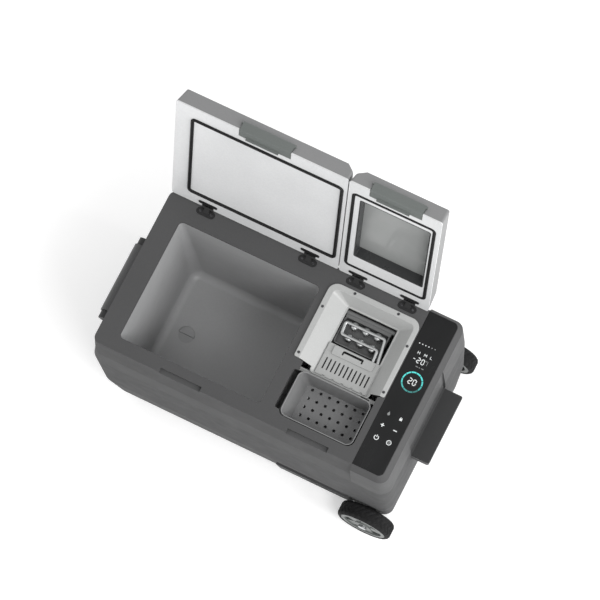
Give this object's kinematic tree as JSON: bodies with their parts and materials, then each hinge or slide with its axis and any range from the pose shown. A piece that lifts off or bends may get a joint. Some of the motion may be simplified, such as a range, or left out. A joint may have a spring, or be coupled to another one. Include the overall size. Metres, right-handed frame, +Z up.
{
  "type": "compressor cooler fridge",
  "caption": "Wheeled twin-lid compressor cooler with an insulated cabin, an ice compartment with lift-out basket, a touch panel strip and carry handles.",
  "frame": {"origin": "on the floor, under the middle of the whole object as it stands with both lids open", "axes": "+Z up; +X from the swing handle end towards the control strip, the fixed handle and the wheels; -Y is the front, where the lid latches are"},
  "size_m": [0.7522, 0.5093, 0.7851],
  "materials": {
    "body_plastic": "fine-grained dark grey moulded plastic",
    "belt_plastic": "fine-grained mid grey moulded plastic",
    "deck_plastic": "fine-grained charcoal moulded plastic",
    "glass_black": "smooth black touch panel",
    "board_green": "solder-masked circuit board",
    "liner_plastic": "satin grey vacuum-formed liner",
    "evaporator_aluminium": "roll-bond evaporator sheet",
    "foam_cream": "foamed-in-place insulation",
    "pipe_plastic": "black plastic pipe",
    "frame_plastic": "satin off-white plastic",
    "grille_plastic": "satin light grey plastic",
    "basket_plastic": "satin grey plastic",
    "screw_steel": "cross-head screws",
    "finger_steel": "nickel-plated copper",
    "motor_plastic": "black gearbox housing",
    "sheet_steel": "galvanised sheet steel",
    "compressor_black": "satin black enamel",
    "fin_aluminium": "bare aluminium fins",
    "fan_plastic": "black glass-filled plastic",
    "copper_pipe": "drawn copper tube",
    "lid_plastic": "fine-grained light grey plastic",
    "panel_plastic": "smooth light grey inner panel",
    "window_dark": "smooth black window surround",
    "window_tint": "smoke-tinted clear plastic",
    "seal_rubber": "soft black seal",
    "latch_plastic": "satin grey-green plastic",
    "hinge_plastic": "black reinforced plastic",
    "pin_steel": "ground steel",
    "handle_plastic": "grained black plastic",
    "grip_plastic": "grained charcoal plastic",
    "tyre_rubber": "solid rubber tyre",
    "rim_plastic": "satin grey plastic wheel",
    "foot_rubber": "solid rubber",
    "inlet_plastic": "black inlet moulding"
  },
  "bodies": {
    "cabinet": {"body_shell": "body_plastic", "shoulder_belt": "belt_plastic", "deck_frame": "deck_plastic", "control_housing": "deck_plastic", "control_glass": "glass_black", "display_board": "board_green", "cabin_liner": "liner_plastic", "cabin_evaporator": "evaporator_aluminium", "cabin_foam": "foam_cream", "drain_pipe": "pipe_plastic", "ice_well": "liner_plastic", "ice_frame": "frame_plastic", "frame_screws": "screw_steel", "ice_grille": "grille_plastic", "tray_motor": "motor_plastic", "finger_evaporator": "finger_steel", "water_reservoir": "frame_plastic", "water_pump": "motor_plastic", "hinge_bases": "hinge_plastic", "hinge_pins": "pin_steel", "hinge_screws": "screw_steel", "right_handle": "handle_plastic", "left_handle_brackets": "handle_plastic", "left_handle_pin": "pin_steel", "wheel_axle": "pin_steel", "axle_brackets": "pipe_plastic", "feet": "foot_rubber", "machine_bulkhead": "sheet_steel", "compressor": "compressor_black", "condenser": "fin_aluminium", "fan_shroud": "fan_plastic", "controller_board": "board_green", "refrigerant_pipes": "copper_pipe", "front_vent": "body_plastic", "rear_vent": "handle_plastic", "power_inlet": "inlet_plastic"},
    "left_lid": {"left_lid_shell": "lid_plastic", "left_lid_panel": "panel_plastic", "left_lid_foam": "foam_cream", "left_lid_gasket": "seal_rubber", "left_lid_hinges": "hinge_plastic"},
    "right_lid": {"right_lid_shell": "lid_plastic", "right_lid_panel": "panel_plastic", "right_lid_foam": "foam_cream", "right_window_frame": "window_dark", "right_window_panes": "window_tint", "right_lid_gasket": "seal_rubber", "right_lid_hinges": "hinge_plastic"},
    "left_latch": {"left_latch": "latch_plastic"},
    "right_latch": {"right_latch": "latch_plastic"},
    "front_wheel": {"front_tyre": "tyre_rubber", "front_rim": "rim_plastic"},
    "rear_wheel": {"rear_tyre": "tyre_rubber", "rear_rim": "rim_plastic"},
    "left_handle": {"left_handle": "grip_plastic"},
    "drain_plug": {"drain_plug": "liner_plastic"},
    "ice_basket": {"ice_basket": "basket_plastic"},
    "ice_tray": {"ice_tray": "grille_plastic"},
    "condenser_fan": {"condenser_fan": "fan_plastic"}
  },
  "joints": [
    {"name": "left_lid_hinge", "type": "hinge", "parent": "cabinet", "child": "left_lid", "pos_m": [-0.1255, 0.1321, 0.4325], "axis": [-1, 0, 0], "range_deg": [-103.4, 0]},
    {"name": "right_lid_hinge", "type": "hinge", "parent": "cabinet", "child": "right_lid", "pos_m": [0.1555, 0.1321, 0.4325], "axis": [-1, 0, 0], "range_deg": [-103.4, 0]},
    {"name": "left_latch_pivot", "type": "hinge", "parent": "left_lid", "child": "left_latch", "pos_m": [-0.1283, 0.23383, 0.77752], "axis": [-1, 0, 0], "range_deg": [0, 28], "stiffness_Nm_per_rad": 0.12, "springref_deg": -20.05},
    {"name": "right_latch_pivot", "type": "hinge", "parent": "right_lid", "child": "right_latch", "pos_m": [0.1564, 0.23383, 0.77752], "axis": [-1, 0, 0], "range_deg": [0, 28], "stiffness_Nm_per_rad": 0.12, "springref_deg": -20.05},
    {"name": "front_wheel_spin", "type": "hinge", "parent": "cabinet", "child": "front_wheel", "pos_m": [0.283, -0.235, 0.06], "axis": [0, 1, 0], "continuous": true},
    {"name": "rear_wheel_spin", "type": "hinge", "parent": "cabinet", "child": "rear_wheel", "pos_m": [0.283, 0.158, 0.06], "axis": [0, 1, 0], "continuous": true},
    {"name": "left_handle_swing", "type": "hinge", "parent": "cabinet", "child": "left_handle", "pos_m": [-0.3595, -0.0385, 0.262], "axis": [0, 1, 0], "range_deg": [0, 100]},
    {"name": "drain_plug_turn", "type": "hinge", "parent": "cabinet", "child": "drain_plug", "pos_m": [-0.219, -0.059, 0.118], "axis": [0, 0, 1], "range_deg": [0, 90]},
    {"name": "ice_basket_lift", "type": "slide", "parent": "cabinet", "child": "ice_basket", "axis": [0, 0, 1], "range_m": [0, 0.12]},
    {"name": "ice_tray_tip", "type": "hinge", "parent": "cabinet", "child": "ice_tray", "pos_m": [0.155, 0.0715, 0.39], "axis": [1, 0, 0], "range_deg": [0, 45]},
    {"name": "condenser_fan_spin", "type": "hinge", "parent": "cabinet", "child": "condenser_fan", "pos_m": [0.165, 0.075, 0.125], "axis": [0, 1, 0], "continuous": true}
  ]
}
